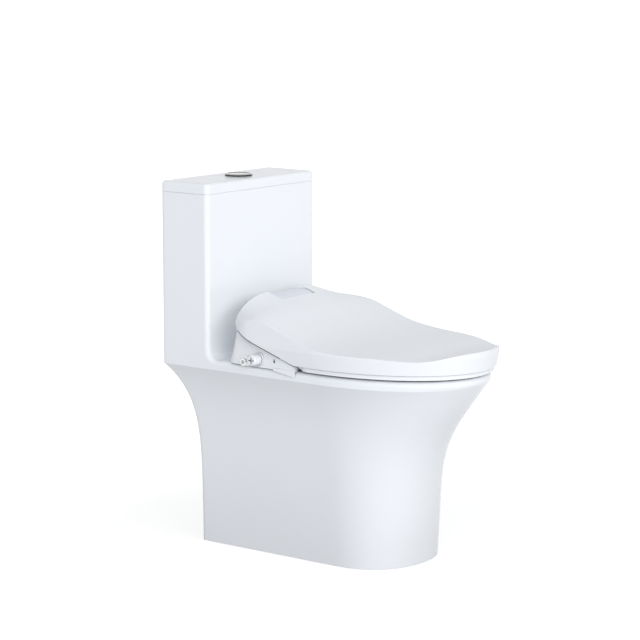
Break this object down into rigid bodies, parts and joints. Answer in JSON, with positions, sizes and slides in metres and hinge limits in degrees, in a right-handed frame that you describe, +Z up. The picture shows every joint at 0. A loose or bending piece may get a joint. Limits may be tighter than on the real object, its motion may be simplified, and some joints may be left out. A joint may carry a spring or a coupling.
{
  "type": "smart toilet",
  "caption": "One-piece skirted toilet with a flush-button tank lid and an electronic bidet seat: heated ring, contoured lid, washing wands, drain knob and water inlet.",
  "frame": {"origin": "centre of the waste outlet, at floor level", "axes": "+Z up, -Y the front of the toilet (towards the user), +X the right hand of somebody who looks at the front"},
  "size_m": [0.397, 0.6895, 0.7626],
  "materials": {
    "ceramic": "glossy white glaze",
    "white_shell": "glossy white moulded plastic",
    "panel": "grey satin plastic",
    "mark": "dark inlay",
    "chrome": "polished",
    "white_inner": "plain moulded plastic",
    "seals": "soft rubber",
    "steel": "stainless steel",
    "nuts": "nylon",
    "damper": "black plastic",
    "brass": "plated brass thread",
    "wand": "stainless tube",
    "wand_tip": "white plastic",
    "filter": "blue mesh cartridge",
    "board": "green circuit board",
    "foil": "heating foil"
  },
  "bodies": {
    "base": {"ceramic_body": "ceramic", "flush_valve_base": "white_inner", "flush_valve_gasket": "seals", "fill_valve": "white_inner", "fill_valve_head": "white_inner", "fill_valve_gasket": "seals", "fill_valve_nut": "white_inner", "mounting_plate": "steel", "seat_bolts": "steel", "seat_bolt_bushings": "seals", "seat_bolt_nuts": "nuts"},
    "tank_cover": {"tank_lid": "ceramic", "tank_lid_pads": "seals", "flush_bezel": "chrome", "bezel_nut": "white_inner"},
    "full_flush": {"full_flush_button": "chrome", "full_flush_rod": "white_inner"},
    "half_flush": {"half_flush_button": "chrome", "half_flush_rod": "white_inner"},
    "canister": {"flush_canister": "white_inner", "flush_seal": "seals"},
    "float": {"fill_float": "white_inner"},
    "seat_unit": {"washlet_cover": "white_shell", "centre_panel": "panel", "drop_mark": "mark", "washlet_base": "white_inner", "hinge_pins": "steel", "hinge_dampers": "damper", "drain_collar": "white_inner", "water_inlet": "brass", "inlet_strainer": "steel", "power_gland": "white_inner", "wand_guide": "white_inner", "nozzle_shield": "white_inner", "wand_motors": "damper", "water_heater": "white_inner", "water_valve": "white_inner", "water_filter": "filter", "control_board": "board", "air_fan": "white_inner"},
    "seat_ring": {"seat_shell": "white_shell", "seat_base": "white_inner", "seat_heater": "foil", "seat_bumpers": "seals"},
    "seat_lid": {"lid": "white_shell", "lid_bumpers": "seals"},
    "rear_washing_wand": {"rear_wand": "wand", "rear_wand_tip": "wand_tip"},
    "front_washing_wand": {"front_wand": "wand", "front_wand_tip": "wand_tip"},
    "knob": {"drain_knob": "white_inner"},
    "release": {"release_button": "white_inner"}
  },
  "joints": [
    {"name": "tank_lid_lift", "type": "slide", "parent": "base", "child": "tank_cover", "axis": [0, 0, 1], "range_m": [0, 0.06]},
    {"name": "full_flush_press", "type": "slide", "parent": "tank_cover", "child": "full_flush", "axis": [0, 0, -1], "range_m": [0, 0.006], "stiffness_N_per_m": 400, "springref_m": -0.002},
    {"name": "half_flush_press", "type": "slide", "parent": "tank_cover", "child": "half_flush", "axis": [0, 0, -1], "range_m": [0, 0.006], "stiffness_N_per_m": 400, "springref_m": -0.002},
    {"name": "flush_canister_lift", "type": "slide", "parent": "base", "child": "canister", "axis": [0, 0, 1], "range_m": [0, 0.03]},
    {"name": "fill_float_rise", "type": "slide", "parent": "base", "child": "float", "axis": [0, 0, 1], "range_m": [0, 0.028]},
    {"name": "unit_slide", "type": "slide", "parent": "base", "child": "seat_unit", "axis": [0, -1, 0], "range_m": [0, 0.04]},
    {"name": "seat_hinge", "type": "hinge", "parent": "seat_unit", "child": "seat_ring", "pos_m": [0, 0.1, 0.468], "axis": [-1, 0, 0], "range_deg": [0, 95]},
    {"name": "lid_hinge", "type": "hinge", "parent": "seat_ring", "child": "seat_lid", "pos_m": [0, 0.1, 0.468], "axis": [1, 0, 0], "range_deg": [-100, 0]},
    {"name": "rear_wand_slide", "type": "slide", "parent": "seat_unit", "child": "rear_washing_wand", "axis": [0, -0.9272, -0.3746], "range_m": [0, 0.085]},
    {"name": "front_wand_slide", "type": "slide", "parent": "seat_unit", "child": "front_washing_wand", "axis": [0, -0.9272, -0.3746], "range_m": [0, 0.085]},
    {"name": "drain_knob_turn", "type": "hinge", "parent": "seat_unit", "child": "knob", "pos_m": [-0.19, 0.032, 0.4135], "axis": [-1, 0, 0], "range_deg": [0, 90]},
    {"name": "release_button_press", "type": "slide", "parent": "seat_unit", "child": "release", "axis": [-1, 0, 0], "range_m": [0, 0.004], "stiffness_N_per_m": 500, "springref_m": -0.002}
  ]
}
